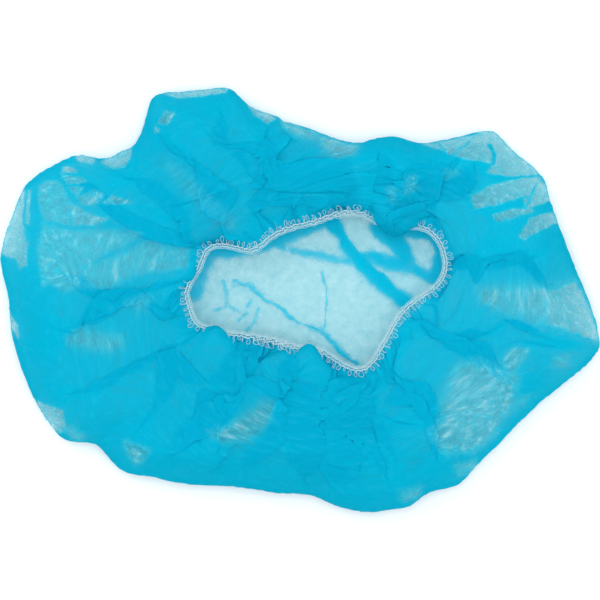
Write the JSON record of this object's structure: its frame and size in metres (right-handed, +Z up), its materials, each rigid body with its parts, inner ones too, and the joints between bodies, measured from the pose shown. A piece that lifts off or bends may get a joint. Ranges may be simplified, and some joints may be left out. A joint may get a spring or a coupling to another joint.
{
  "type": "disposable hairnet",
  "caption": "Disposable bouffant cap lying mouth up: a round cut of thin blue nonwoven cloth, gathered at its edge onto a white elastic band.",
  "frame": {"origin": "on the surface that the cap lies on, under the middle of the lying cap's width and depth", "axes": "+X to the right along the lying cap's width, +Y to the back, which is up in the picture, +Z up out of the mouth"},
  "size_m": [0.3209, 0.2272, 0.0431],
  "materials": {
    "nonwoven_cloth": "matte, thin and see-through",
    "white_elastic": "matte knitted elastic with overlock thread"
  },
  "bodies": {
    "root": {"cap_cloth": "nonwoven_cloth", "elastic_band": "white_elastic"}
  },
  "joints": []
}
